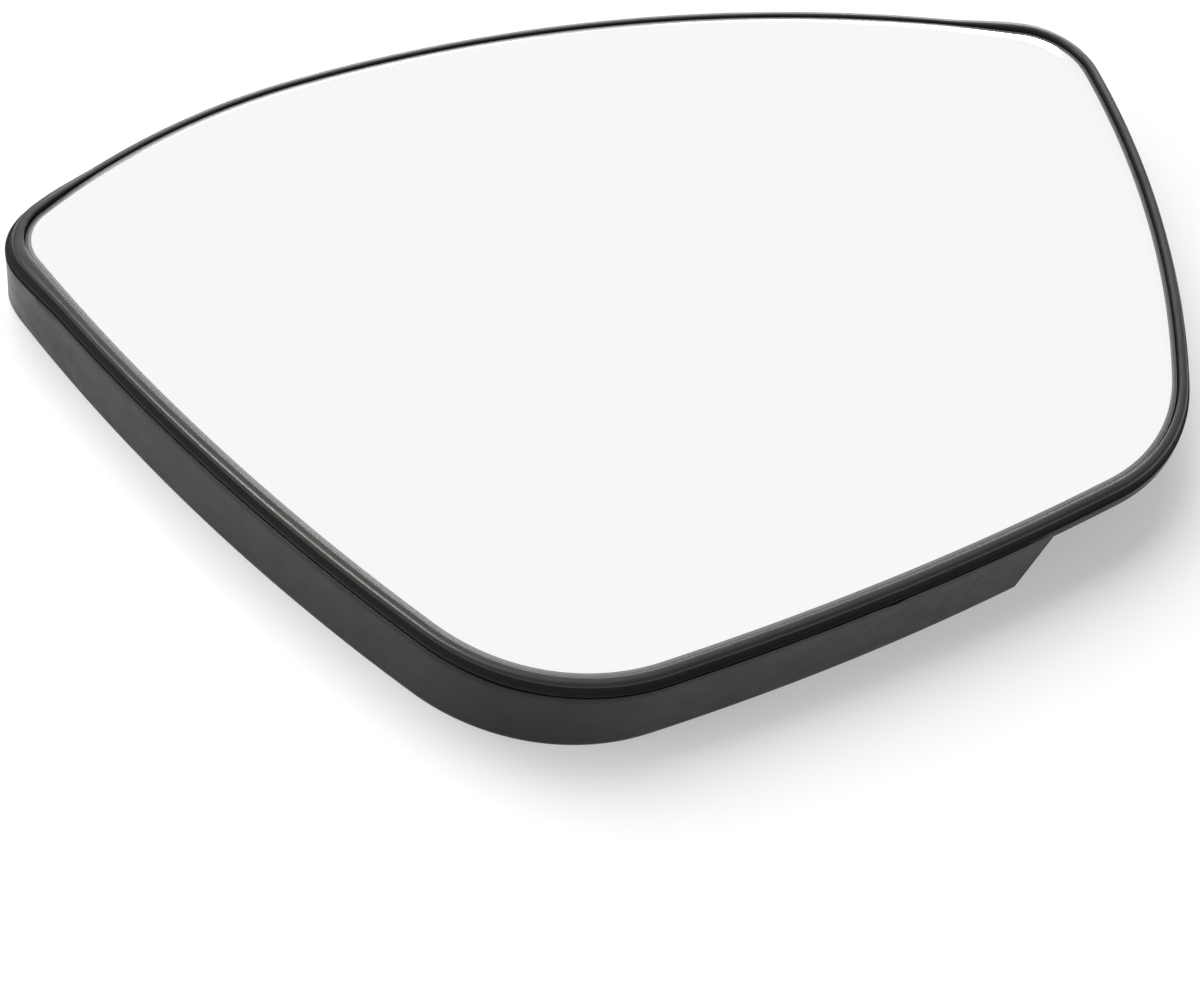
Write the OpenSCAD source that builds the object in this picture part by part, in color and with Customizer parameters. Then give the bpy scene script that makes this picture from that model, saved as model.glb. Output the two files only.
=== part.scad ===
// Door mirror glass: a convex pane bonded into a moulded holder with a clip collar.
// Millimetres. +Z is the side that the driver looks at, the origin is on the collar's
// axis at its rear face, and the skirted bottom side runs along X on the -Y side.

/* [Outline of the pane] */
// Direction in which the left side starts, anticlockwise from X
start_heading = -81.3; // [-84:0.1:-78]
// Bend of the left side
left_side_bend = 16.2; // [13:0.1:18]
// Bend of the low left corner
low_corner_bend = 62.4; // [59:0.1:65]
// Radius of the low left corner
low_corner_r = 32.8; // [26:0.1:38]
// Bend of the bottom side
bottom_side_bend = 9.9; // [8:0.1:12]
// Bend of the right corner
right_corner_bend = 49.5; // [46:0.1:52]
// Radius of the right corner
right_corner_r = 31.1; // [26:0.1:37]
// Bend of the right side
right_side_bend = 23.6; // [21:0.1:26]
// Radius of the right side
right_side_r = 163.8; // [150:0.1:180]
// Bend of the top right corner
top_corner_bend = 73.5; // [71:0.1:76]
// Radius of the top right corner
top_corner_r = 11.5; // [8:0.5:16]
// Bend of the long top edge
top_edge_bend = 25.5; // [23:0.1:28]
// Radius of the long top edge
top_edge_r = 287.2; // [265:0.1:305]
// Bend of the shoulder between the top edge and the tip
shoulder_bend = 23.8; // [22:0.1:27]
// Radius of the shoulder
shoulder_r = 119.3; // [110:0.1:132]
// Radius of the tip at the upper left
tip_r = 8; // [6:0.1:9]

/* [Pane] */
// Radius of the convex front face
glass_bend_r = 1300; // [900:10:2000]
// Thickness of the pane
glass_t = 2; // [1.6:0.1:2.4]
// Width of the ground bevel round the front edge
bevel_w = 0.95; // [0.5:0.05:1.2]
// Depth of the ground bevel at the pane's edge
bevel_h = 0.2; // [0.1:0.05:0.4]

/* [Adhesive pad] */
// Thickness of the double-sided pad
pad_t = 0.4; // [0.2:0.1:0.8]
// How far the pad's edge lies inside the pane's edge
pad_inset = 3.3; // [2.3:0.1:5]

/* [Rim] */
// Gap between the pane's edge and the rim's inner wall
glass_gap = 0.15; // [0.1:0.05:0.3]
// Width of the bead that runs round the pane
bead_w = 1.5; // [1.2:0.05:1.6]
// Height of the bead above the pane's edge
bead_rise = 0.8; // [0.6:0.05:1]
// Height of the bead along the top edge and the shoulder
top_bead_rise = 0.2; // [0.1:0.05:0.6]
// Radius of the bead's inner rounding
bead_inner_r = 0.25; // [0.15:0.05:0.4]
// Radius of the bead's outer rounding
bead_outer_r = 0.45; // [0.3:0.05:0.5]
// Width of the rim from its inner wall to the outside of the lip below the bead
rim_w = 2.2; // [1.9:0.05:2.5]
// Depth of that lip below the pane's edge
lip_depth = 1.15; // [1:0.05:1.4]
// Height of the lip's own edge
lip_t = 0.15; // [0.1:0.05:0.3]
// Height of the groove along the parting line
groove_h = 0.25; // [0.15:0.05:0.4]
// Depth of that groove
groove_depth = 0.15; // [0.1:0.05:0.3]
// How far the skirt stands out past the lip
skirt_step = 0.15; // [0.1:0.05:0.3]
// Depth of the low rim below the pane's front face
low_rim_depth = 2.85; // [2.4:0.05:3.2]
// Share by which the rim is wider where the tip runs into the left side
tip_widening = 0.3; // [0:0.05:0.4]
// Distance from there over which the rim widens
tip_reach = 12; // [10:0.5:16]
// Share by which the rim is narrower along the top edge and the shoulder
top_narrowing = 0.25; // [0:0.05:0.35]
// Distance over which the rim changes at both ends of that run
top_reach = 14; // [8:0.5:20]

/* [Skirt] */
// Height of the pane's crown above the skirt's lower edge
crown_z = 17.8; // [15.5:0.1:21]
// Wall of the skirt at its lower edge
skirt_wall = 1.5; // [1.2:0.1:2.5]
// How far the outer face leans in from top to bottom, but for the tip and the shoulder
skirt_draft = 1.2; // [0:0.1:1.5]
// Distance from the start of the bottom side to the skirt's end there
skirt_end = 66.7; // [30:0.1:70]
// Distance from the tip to the skirt's other end, on the shoulder
shoulder_skirt = 18; // [8:1:40]
// How far each end of the skirt leans along its side
end_lean = 2.5; // [0.5:0.1:6]

/* [Back plate and ribs] */
// Thickness of the plate behind the pane
plate_t = 1.7; // [1.4:0.1:2]
// Height of the ribs behind the plate
rib_h = 3; // [2:0.1:4]
// Thickness of the ribs
rib_t = 1.4; // [1:0.1:2]
// How far the border rib lies inside the pane's edge
border_inset = 3.7; // [3.3:0.1:3.9]
// Number of ribs that run out from the collar
rib_count = 12; // [6:1:16]
// Radius of the round rib between the collar and the border
ring_rib_r = 43; // [38:1:47]

/* [Clip collar] */
// Radius of the collar's bore
collar_bore_r = 27; // [24:0.5:29]
// Wall of the collar
collar_wall = 2.2; // [1.8:0.1:3]
// Number of spring fingers
finger_count = 8; // [6:1:10]
// Width of the slots between the fingers
slot_w = 2.4; // [1.5:0.1:3.5]
// Depth of those slots from the rear face
slot_depth = 9; // [5:0.5:10.5]
// Width of the key slot that sets the turn of the glass
key_slot_w = 7; // [4:0.5:9]
// Distance from the rear face to the snap groove in the bore
snap_groove_z = 2; // [1.5:0.1:3]
// Width of the snap groove
snap_groove_h = 1.6; // [1:0.1:2]
// Depth of the snap groove
snap_groove_depth = 0.6; // [0.3:0.1:1]

/* [Hidden] */

glass_color = "#eef0ef";
pad_color = "#b9bab6";
holder_color = "#2b2b2d";

// Places in the chain of nine arcs, anticlockwise from the left side
LEFT = 0;
BOTTOM = 2;
TOP_EDGE = 6;
SHOULDER = 7;
TIP = 8;
bends = [left_side_bend, low_corner_bend, bottom_side_bend, right_corner_bend, right_side_bend,
    top_corner_bend, top_edge_bend, shoulder_bend];
tip_bend = 360 - add(bends);
turns = concat(bends, [tip_bend]);
last = len(turns) - 1;
headings = [for (i = [0 : len(turns)]) start_heading + add([for (k = [0 : 1 : i - 1]) turns[k]])];

// The left and bottom sides take the radii that close the outline
chosen_r = [0, low_corner_r, 0, right_corner_r, right_side_r, top_corner_r, top_edge_r, shoulder_r,
    tip_r];
unit_steps = [for (i = [0 : last]) side_vector(headings[i + 1]) - side_vector(headings[i])];
open_step = -add([for (i = [0 : last]) chosen_r[i] * unit_steps[i]]);
closing_area = crossed(unit_steps[LEFT], unit_steps[BOTTOM]);
left_side_r = crossed(open_step, unit_steps[BOTTOM]) / closing_area;
bottom_side_r = crossed(unit_steps[LEFT], open_step) / closing_area;
radii = [for (i = [0 : last]) i == LEFT ? left_side_r : i == BOTTOM ? bottom_side_r : chosen_r[i]];

// Each arc's centre, in a frame that starts where the left side starts
raw_centres = [for (i = [0 : last])
    add([[0, 0], for (k = [0 : 1 : i - 1]) radii[k] * unit_steps[k]]) - radii[i] * side_vector(headings[i])];

// Stations round the outline, each [arc, heading, 1 where the skirt is full height]
finest_turn = 6;
longest_step = 8;
near_tip = along(LEFT, tip_reach);
bottom_ends = [along(BOTTOM, skirt_end), along(BOTTOM, skirt_end + end_lean)];
shoulder_len = radii[SHOULDER] * turns[SHOULDER] * PI / 180;
tip_len = radii[TIP] * turns[TIP] * PI / 180;
shoulder_ends = [along(SHOULDER, shoulder_len - shoulder_skirt - end_lean),
    along(SHOULDER, shoulder_len - shoulder_skirt)];
stations = concat(
    stretch(LEFT, headings[0], near_tip, 1, tip_reach / 4),
    stretch(LEFT, near_tip, headings[1], 1),
    stretch(1, headings[1], headings[2], 1),
    stretch(BOTTOM, headings[2], bottom_ends[0], 1),
    [[BOTTOM, bottom_ends[0], 1]],
    stretch(BOTTOM, bottom_ends[1], headings[3], 0),
    [for (i = [3 : SHOULDER - 1]) each stretch(i, headings[i], headings[i + 1], 0)],
    stretch(SHOULDER, headings[SHOULDER], shoulder_ends[0], 0),
    [[SHOULDER, shoulder_ends[0], 0]],
    stretch(SHOULDER, shoulder_ends[1], headings[TIP], 1, tip_reach / 4),
    stretch(TIP, headings[TIP], headings[TIP + 1], 1));

// The collar's axis goes through the middle of the outline's area
raw_outline = [for (s = stations) raw_point(s, 0)];
middle = area_centre(raw_outline);

// Heights of the plate and the collar
plate_depth = glass_t + pad_t;
rib_floor = plate_depth + plate_t + rib_h;
collar_r = collar_bore_r + collar_wall;
reach = 2 * max([for (s = stations) norm(station_point(s, rim_w))]);
embed = 0.6;
bead_out = glass_gap + bead_w;
lip_out = glass_gap + rim_w;
flank_shares = [0.15, 0.4, 0.7, 1];
flank_curve = 2.2;
closed_groove = 0.04;

function add(list, i = 0) =
    len(list) == 0 ? 0 : i == len(list) - 1 ? list[i] : list[i] + add(list, i + 1);
function side_vector(heading) = [sin(heading), -cos(heading)];
function crossed(a, b) = a[0] * b[1] - a[1] * b[0];
function along(arc, distance) = headings[arc] + distance / radii[arc] * 180 / PI;

function steps_for(arc, turn, longest) =
    ceil(max(turn / finest_turn, turn * PI / 180 * radii[arc] / longest));
function stretch(arc, from, to, full, longest = longest_step) =
    let (n = steps_for(arc, to - from, longest))
    [for (k = [0 : n - 1]) [arc, from + (to - from) * k / n, full]];

function raw_point(station, out) =
    raw_centres[station[0]] + (radii[station[0]] + out) * side_vector(station[1]);
function station_point(station, out) = raw_point(station, out) - middle;
function outline(out) = [for (s = stations) station_point(s, out)];

// Distance along the outline past the left side's start, for the places near it
function past_start(station) =
    station[0] == LEFT ? (station[1] - headings[0]) * PI / 180 * radii[LEFT]
    : station[0] == TIP ? (station[1] - headings[TIP + 1]) * PI / 180 * radii[TIP]
    : station[0] == SHOULDER ? (station[1] - headings[TIP]) * PI / 180 * radii[SHOULDER] - tip_len
    : 2 * tip_reach;
// Rounding with its centre at a distance out, its top at a height and its steps from an angle
function quarter(out, top, r, from, to, steps) =
    [for (k = [0 : steps]) let (a = from + (to - from) * k / steps)
        [out + r * cos(a), top - r + r * sin(a)]];

// Share of the change to the low, narrow rim of the top edge and the shoulder
function top_share(station) =
    let (run = (station[1] - headings[station[0]]) * PI / 180 * radii[station[0]],
        inside = station[0] == TOP_EDGE ? run : station[0] == SHOULDER ? shoulder_len - run : 0)
    sin(90 * min(1, inside / top_reach)) ^ 2;
function widening(station) =
    1 + tip_widening * cos(90 * min(1, abs(past_start(station)) / tip_reach)) ^ 2
    - top_narrowing * top_share(station);
function rise(station) = bead_rise + (top_bead_rise - bead_rise) * top_share(station);
function draft(station) =
    let (past = max(0, past_start(station) + tip_len * 3 / 4))
    skirt_draft * sin(90 * min(1, past * 3 / 2 / tip_reach)) ^ 2;

function area_centre(points) =
    let (n = len(points),
        parts = [for (i = [0 : n - 1]) crossed(points[i], points[(i + 1) % n])],
        moments = [for (i = [0 : n - 1]) parts[i] * (points[i] + points[(i + 1) % n])])
    add(moments) / (3 * add(parts));

// Height of the pane's front face above a point of the plan
function face_z(point) = crown_z - glass_bend_r + sqrt(glass_bend_r ^ 2 - point * point);

// Height of the plate's rear face at a distance from the axis
function plate_rear_z(distance) =
    crown_z - glass_bend_r
    + sqrt((glass_bend_r - plate_depth - plate_t) ^ 2 - distance ^ 2);

// Section of the rim and skirt as [outwards, height], from the inner wall over the bead.
// The rim can be made wider without moving the skirt's foot. Where the rim is low, its groove
// is all but closed.
function rim_section(face, full, wide, rise, lean) =
    let (bead = concat(
            quarter(glass_gap + bead_inner_r, rise, bead_inner_r, 180, 90, 3),
            quarter(bead_out - bead_outer_r, rise, bead_outer_r, 80, 10, 4)),
        drop = lip_depth + rise - bead_outer_r,
        flank = [for (t = flank_shares)
            [bead_out + (lip_out - bead_out) * t, drop * (1 - t) ^ flank_curve - lip_depth]],
        groove_top = -lip_depth - lip_t,
        groove_low = groove_top - groove_h,
        groove = full == 1 ? groove_depth : closed_groove,
        skirt_out = lip_out + (full == 1 ? skirt_step : closed_groove),
        foot_out = full == 1 ? skirt_out - lean : lip_out,
        foot_z = full == 1 ? -face : -low_rim_depth,
        heel = full == 1 ? [foot_out - skirt_wall, -face] : [glass_gap + embed, -plate_depth - plate_t])
    concat(
        [[glass_gap, -plate_depth - embed]],
        [for (p = concat(
            bead,
            flank,
            [[lip_out, groove_top],
                [lip_out - groove, groove_top],
                [lip_out - groove, groove_low],
                [skirt_out, groove_low]])) [glass_gap + wide * (p[0] - glass_gap), p[1]]],
        [[foot_out, foot_z],
            heel,
            [glass_gap + embed / 2, -plate_depth - plate_t + embed]]);

function ring_faces(count, section) =
    [for (i = [0 : count - 1], k = [0 : section - 1])
        let (j = (i + 1) % count, m = (k + 1) % section)
        [i * section + k, j * section + k, j * section + m, i * section + m]];

// A closed ring swept round the outline, with one section for each station
module swept_ring(sections) {
    points = [for (i = [0 : len(stations) - 1], p = sections[i])
        let (plan = station_point(stations[i], p[0]))
        [plan[0], plan[1], face_z(station_point(stations[i], 0)) + p[1]]];
    polyhedron(points, ring_faces(len(stations), len(sections[0])), convexity = 6);
}

// The layer between two depths below the pane's front face
module dome_layer(depth, thickness) {
    rotate_extrude($fn = 180)
        intersection() {
            translate([0, crown_z - glass_bend_r])
                difference() {
                    circle(r = glass_bend_r - depth, $fn = 7200);
                    circle(r = glass_bend_r - depth - thickness, $fn = 7200);
                }
            translate([0, crown_z - reach])
                square([reach, 2 * reach]);
        }
}

module prism(points) {
    translate([0, 0, -reach])
        linear_extrude(2 * reach, convexity = 4)
            polygon(points);
}

// The triangle that the edge grinding takes off, longer than the bevel at both ends
function bevel_section() =
    let (run = [bevel_w, -bevel_h], low = [0, -bevel_h] + run, high = [-bevel_w, 0] - run)
    [low, high, [low[0], high[1]]];

module mirror_glass() {
    color(glass_color)
        difference() {
            intersection() {
                dome_layer(0, glass_t);
                prism(outline(0));
            }
            swept_ring([for (s = stations) bevel_section()]);
        }
}

module adhesive_pad() {
    color(pad_color)
        intersection() {
            dome_layer(glass_t, pad_t);
            prism(outline(-pad_inset));
        }
}

module back_plate() {
    intersection() {
        dome_layer(plate_depth, plate_t);
        prism(outline(glass_gap + embed / 2));
    }
}

module rib_plan() {
    for (i = [0 : rib_count - 1])
        rotate(360 / rib_count * (i + 0.5))
            translate([collar_r - embed, -rib_t / 2])
                square([reach, rib_t]);
    difference() {
        circle(r = ring_rib_r + rib_t, $fn = 120);
        circle(r = ring_rib_r, $fn = 120);
    }
    difference() {
        polygon(outline(-border_inset));
        polygon(outline(-border_inset - rib_t));
    }
}

module ribs() {
    intersection() {
        dome_layer(rib_floor - rib_h - embed, rib_h + embed);
        prism(outline(-border_inset));
        translate([0, 0, -reach])
            linear_extrude(2 * reach, convexity = 8)
                rib_plan();
    }
}

module clip_collar() {
    collar_top = plate_rear_z(collar_r) + embed;
    difference() {
        cylinder(r = collar_r, h = collar_top, $fn = 120);
        translate([0, 0, -1])
            cylinder(r = collar_bore_r, h = collar_top + 2, $fn = 120);
        translate([0, 0, snap_groove_z])
            cylinder(r = collar_bore_r + snap_groove_depth, h = snap_groove_h, $fn = 120);
        for (i = [0 : finger_count - 1])
            let (width = i == 0 ? key_slot_w : slot_w)
            rotate(90 + 360 / finger_count * i)
                translate([collar_bore_r - 1, -width / 2, -1])
                    cube([collar_wall + 2, width, slot_depth + 1]);
    }
}

module glass_holder() {
    color(holder_color)
        union() {
            swept_ring([for (s = stations)
                rim_section(face_z(station_point(s, 0)), s[2], widening(s), rise(s), draft(s))]);
            back_plate();
            ribs();
            clip_collar();
        }
}

mirror_glass();
adhesive_pad();
glass_holder();
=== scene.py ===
"""Door mirror glass: a convex pane bonded into a black moulded holder with a clip collar.

Sizes are written in millimetres and turned into metres where a mesh is made. +Z is the side
that the driver looks at, and the origin lies on the collar's axis at its rear face.
"""

from __future__ import annotations

import logging
import math
from dataclasses import dataclass, field
from enum import Enum

import bmesh
import bpy
from mathutils import Matrix, Vector

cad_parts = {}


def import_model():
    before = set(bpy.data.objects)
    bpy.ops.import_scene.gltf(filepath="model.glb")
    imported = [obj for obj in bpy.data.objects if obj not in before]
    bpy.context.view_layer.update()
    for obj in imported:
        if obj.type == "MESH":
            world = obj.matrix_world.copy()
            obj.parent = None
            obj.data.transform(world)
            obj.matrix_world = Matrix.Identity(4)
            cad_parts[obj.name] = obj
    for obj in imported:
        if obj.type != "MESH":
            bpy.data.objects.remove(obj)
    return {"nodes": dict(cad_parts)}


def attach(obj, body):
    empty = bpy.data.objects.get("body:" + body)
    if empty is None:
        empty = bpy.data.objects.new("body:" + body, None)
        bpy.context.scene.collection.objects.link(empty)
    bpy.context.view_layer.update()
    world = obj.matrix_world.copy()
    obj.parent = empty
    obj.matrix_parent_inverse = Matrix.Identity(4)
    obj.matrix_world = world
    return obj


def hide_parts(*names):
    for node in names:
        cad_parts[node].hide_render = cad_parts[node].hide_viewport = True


LOG = logging.getLogger("mirror_glass")
MM = 0.001
Plan = tuple[float, float]
Point = tuple[float, float, float]
Colour = tuple[float, float, float, float]


class Arc(Enum):
    """The nine arcs of the outline, anticlockwise from the left side."""

    LEFT_SIDE = 0
    LOW_CORNER = 1
    BOTTOM_SIDE = 2
    RIGHT_CORNER = 3
    RIGHT_SIDE = 4
    TOP_CORNER = 5
    TOP_EDGE = 6
    SHOULDER = 7
    TIP = 8


class Finish(Enum):
    """The finishes on the part, named as their materials are."""

    SATIN_PLASTIC = "black_satin_plastic"
    # Painted shade: a darker, less glossy copy of the plastic on the flank below the bead.
    DULL_PLASTIC = "black_plastic_flank_painted_shade"
    # Painted shade: a darker, less glossy copy of the plastic on the lip and the skirt.
    SKIRT_PLASTIC = "black_plastic_skirt_painted_shade"
    SILVERED = "silvered_glass"
    # Painted reflection: a lighter copy of the ground glass on the seam.
    SEAM = "glass_seam_painted_reflection"
    SEAM_SHADE = "shaded_glass_seam"
    GROUND_EDGE = "ground_glass_edge"
    ADHESIVE = "foam_adhesive_film"
    TABLE = "studio_table"


def grey(level: float, tint: float = 0.0) -> Colour:
    """Give a linear grey, a touch warmer with a positive tint."""
    return (level * (1 + tint), level, level * (1 - tint), 1.0)


def turned(angle: float) -> Plan:
    """Give the outward direction of a side that runs along a heading in degrees."""
    a = math.radians(angle)
    return (math.sin(a), -math.cos(a))


def crossed(a: Plan, b: Plan) -> float:
    """Give the cross product of two plan vectors."""
    return a[0] * b[1] - a[1] * b[0]


def between(a: Plan, b: Plan, t: float) -> Plan:
    """Give the point a share t of the way from a to b."""
    return (a[0] + (b[0] - a[0]) * t, a[1] + (b[1] - a[1]) * t)


def rounded(centre: Plan, r: float, start: float, turn: float, steps: int = 7) -> list[Plan]:
    """Give the points of a rounding in a section.

    Args:
        centre: Its centre.
        r: Its radius.
        start: Angle of its first point in degrees.
        turn: Angle through which it turns clockwise from there, in degrees.
        steps: Number of its flats.

    Returns:
        One point more than it has flats.
    """
    angles = [math.radians(start - turn * k / steps) for k in range(steps + 1)]
    return [(centre[0] + r * math.cos(a), centre[1] + r * math.sin(a)) for a in angles]


@dataclass(frozen=True)
class Station:
    """One place on the outline.

    Attributes:
        heading: Direction of the outline there, in degrees.
        centre: Centre of that arc.
        radius: Radius of that arc.
        full: 1 where the skirt has its full height, 0 where the rim is low.
        parted: 1 where the parting groove is open, 0 where it has run out.
        wide: Width of the rim here as a share of its usual width.
        leaning: Share of the skirt's draft that it has here.
        lowered: Share of the change to the low rim of the top edge and the shoulder.
    """

    heading: float
    centre: Plan
    radius: float
    full: float
    parted: float
    wide: float
    leaning: float
    lowered: float

    def at(self, out: float) -> Plan:
        """Give the plan point that lies out beyond the pane's edge here."""
        n = turned(self.heading)
        r = self.radius + out
        return (self.centre[0] + r * n[0], self.centre[1] + r * n[1])


@dataclass
class PaneOutline:
    """The closed chain of nine arcs that every piece follows.

    Attributes:
        start_heading: Heading at the start of the left side, in degrees.
        bends: How much each arc but the last turns, in degrees.
        skirt_end: Distance along the bottom side at which the full skirt ends.
        shoulder_skirt: Length of the full skirt on the shoulder.
        end_lean: Length over which the skirt runs out past those ends.
        groove_fade: Length over which the parting groove runs out, up to where the foot ends.
        tip_widening: Share by which the rim is wider at the tip.
        tip_reach: Distance over which that widening runs out.
        top_narrowing: Share by which the rim is narrower along the top edge and the shoulder.
        top_reach: Distance over which that narrowing comes in.
        upright_tip: Share of the tip, counted back from its end, at which the draft begins.
        draft_reach: Distance from there to the full draft.
    """

    start_heading: float = -81.3
    bends: tuple[float, ...] = (16.2, 62.4, 9.9, 49.5, 23.6, 73.5, 25.5, 23.8)
    low_corner_r: float = 32.8
    right_corner_r: float = 31.1
    right_side_r: float = 163.8
    top_corner_r: float = 11.5
    top_edge_r: float = 287.2
    shoulder_r: float = 119.3
    tip_r: float = 8.0
    skirt_end: float = 66.7
    shoulder_skirt: float = 18.0
    end_lean: float = 2.5
    groove_fade: float = 7.0
    tip_widening: float = 0.3
    tip_reach: float = 12.0
    upright_tip: float = 0.75
    draft_reach: float = 8.0
    top_narrowing: float = 0.265
    top_reach: float = 14.0
    headings: list[float] = field(default_factory=list)
    radii: list[float] = field(default_factory=list)
    centres: list[Plan] = field(default_factory=list)

    def __post_init__(self) -> None:
        """Solve the two long sides' radii and move the area's middle to the axis."""
        turns = list(self.bends) + [360.0 - sum(self.bends)]
        self.headings = [self.start_heading]
        for t in turns:
            self.headings.append(self.headings[-1] + t)
        chosen = [0.0, self.low_corner_r, 0.0, self.right_corner_r, self.right_side_r,
                  self.top_corner_r, self.top_edge_r, self.shoulder_r, self.tip_r]
        steps = [self._step(i) for i in range(len(Arc))]
        gap = (-sum(r * s[0] for r, s in zip(chosen, steps)),
               -sum(r * s[1] for r, s in zip(chosen, steps)))
        area = crossed(steps[0], steps[2])
        chosen[0] = crossed(gap, steps[2]) / area
        chosen[2] = crossed(steps[0], gap) / area
        self.radii = chosen
        x = y = 0.0
        for i in range(len(Arc)):
            n = turned(self.headings[i])
            self.centres.append((x - chosen[i] * n[0], y - chosen[i] * n[1]))
            x += chosen[i] * steps[i][0]
            y += chosen[i] * steps[i][1]
        mid = self._area_middle()
        self.centres = [(c[0] - mid[0], c[1] - mid[1]) for c in self.centres]

    def _step(self, arc: int) -> Plan:
        """Give the chord of an arc for a radius of one."""
        a, b = turned(self.headings[arc]), turned(self.headings[arc + 1])
        return (b[0] - a[0], b[1] - a[1])

    def _area_middle(self) -> Plan:
        """Find the middle of the outlined area.

        Returns:
            Its plan position.
        """
        pts = [s.at(0.0) for s in self.stations(longest=8.0, finest=6.0)]
        pairs = list(zip(pts, pts[1:] + pts[:1]))
        parts = [crossed(p, q) for p, q in pairs]
        total = 3 * sum(parts)
        sx = sum(w * (p[0] + q[0]) for (p, q), w in zip(pairs, parts))
        sy = sum(w * (p[1] + q[1]) for (p, q), w in zip(pairs, parts))
        return (sx / total, sy / total)

    def _standing(self, arc: Arc, run: float, length: float, lean: float) -> float:
        """Tell how much of the skirt stands at a distance along an arc.

        Args:
            arc: The arc.
            run: Distance from the arc's start.
            length: The arc's whole length.
            lean: Length over which it runs out, up to the point where the foot ends.

        Returns:
            1 on the skirt, 0 past its ends, and a share between them.
        """
        if arc in (Arc.LEFT_SIDE, Arc.LOW_CORNER, Arc.TIP):
            return 1.0
        start = self.end_lean - lean
        if arc is Arc.BOTTOM_SIDE:
            return min(1.0, max(0.0, 1 - (run - self.skirt_end - start) / lean))
        if arc is Arc.SHOULDER:
            return min(1.0, max(0.0, 1 - (length - self.shoulder_skirt - start - run) / lean))
        return 0.0

    def _near_tip(self, arc: Arc, run: float, length: float) -> tuple[float, float]:
        """Give the shares of the rim's widening and of the skirt's draft at a place.

        Args:
            arc: The arc.
            run: Distance from the arc's start.
            length: The arc's whole length.

        Returns:
            The widening's share, which is 1 at the left side's start, and the draft's share,
            which is 0 on the shoulder and in the first part of the tip and 1 from its end on.
        """
        i = Arc.TIP.value
        tip = self.radii[i] * math.radians(self.headings[i + 1] - self.headings[i])
        past = {Arc.LEFT_SIDE: run, Arc.TIP: run - length, Arc.SHOULDER: run - length - tip}
        at = past.get(arc, 2 * self.tip_reach)
        lean = min(1.0, max(0.0, at + tip * self.upright_tip) / self.draft_reach)
        return (math.cos(math.pi / 2 * min(1.0, abs(at) / self.tip_reach)) ** 2,
                math.sin(math.pi / 2 * lean) ** 2)

    def stations(self, longest: float, finest: float) -> list[Station]:
        """Walk round the outline, with a station at each end of the skirt's two slopes.

        Args:
            longest: Longest step along the outline in millimetres.
            finest: Largest turn between two stations in degrees.

        Returns:
            The stations in order, the last one a step before the first.
        """
        made: list[Station] = []
        for arc in Arc:
            i = arc.value
            turn = self.headings[i + 1] - self.headings[i]
            length = self.radii[i] * math.radians(turn)
            cuts = {0.0}
            if arc is Arc.BOTTOM_SIDE:
                cuts |= {self.skirt_end, self.skirt_end + self.end_lean}
            if arc is Arc.SHOULDER:
                cuts |= {length - self.shoulder_skirt - self.end_lean, length - self.shoulder_skirt}
            edges = sorted(cuts) + [length]
            for a, b in zip(edges, edges[1:]):
                bend = math.degrees((b - a) / self.radii[i])
                n = math.ceil(max((b - a) / longest, bend / finest, 1))
                for k in range(n):
                    made.append(self._station(arc, a + (b - a) * k / n, length))
        return made

    def _station(self, arc: Arc, run: float, length: float) -> Station:
        """Make one station.

        Args:
            arc: The arc that it lies on.
            run: Its distance from the arc's start.
            length: The arc's whole length.

        Returns:
            The station.
        """
        i = arc.value
        wider, leaning = self._near_tip(arc, run, length)
        inside = {Arc.TOP_EDGE: run, Arc.SHOULDER: length - run}.get(arc, 0.0)
        lowered = math.sin(math.pi / 2 * min(1.0, inside / self.top_reach)) ** 2
        return Station(
            heading=self.headings[i] + math.degrees(run / self.radii[i]),
            centre=self.centres[i],
            radius=self.radii[i],
            full=self._standing(arc, run, length, self.end_lean),
            parted=self._standing(arc, run, length, self.groove_fade),
            wide=1 + self.tip_widening * wider - self.top_narrowing * lowered,
            leaning=leaning,
            lowered=lowered)


@dataclass(frozen=True)
class PaneDome:
    """The shallow ball surface that the pane and everything behind it follow."""

    crown_z: float = 17.8
    bend_r: float = 1300.0

    def height(self, p: Plan, depth: float = 0.0) -> float:
        """Give the height of the surface that lies a depth below the pane's face."""
        r = self.bend_r - depth
        return self.crown_z - self.bend_r + math.sqrt(r * r - p[0] ** 2 - p[1] ** 2)

    def on(self, p: Plan, depth: float = 0.0) -> Point:
        """Give the point of that surface over a plan position."""
        return (p[0], p[1], self.height(p, depth))


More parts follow.
